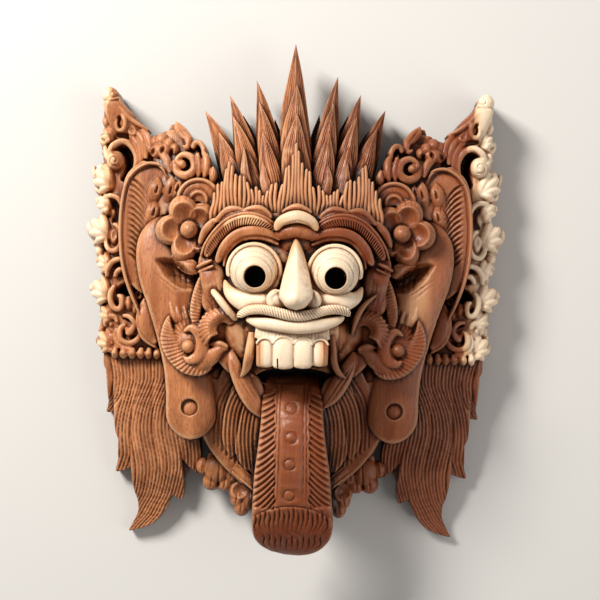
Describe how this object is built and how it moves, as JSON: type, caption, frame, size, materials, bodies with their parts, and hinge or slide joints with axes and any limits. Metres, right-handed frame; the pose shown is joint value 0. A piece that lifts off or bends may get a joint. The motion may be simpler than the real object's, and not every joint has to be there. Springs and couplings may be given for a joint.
{
  "type": "carved wooden demon mask",
  "caption": "Carved wooden demon mask with a spiked crown, bulging pierced eyes, bared teeth, long tongue, scrolled side wings and a hollow back.",
  "frame": {"origin": "centre of the mask's bounding box, on the plane of its flat back rim", "axes": "+X to the right of the picture, +Y towards the crown, +Z out of the face, towards the viewer"},
  "size_m": [0.2408, 0.2908, 0.1107],
  "materials": {
    "carved_wood": "hand-carved hardwood with a satin oiled finish, red-brown heartwood with pale sapwood"
  },
  "bodies": {
    "root": {"mask": "carved_wood"}
  },
  "joints": []
}
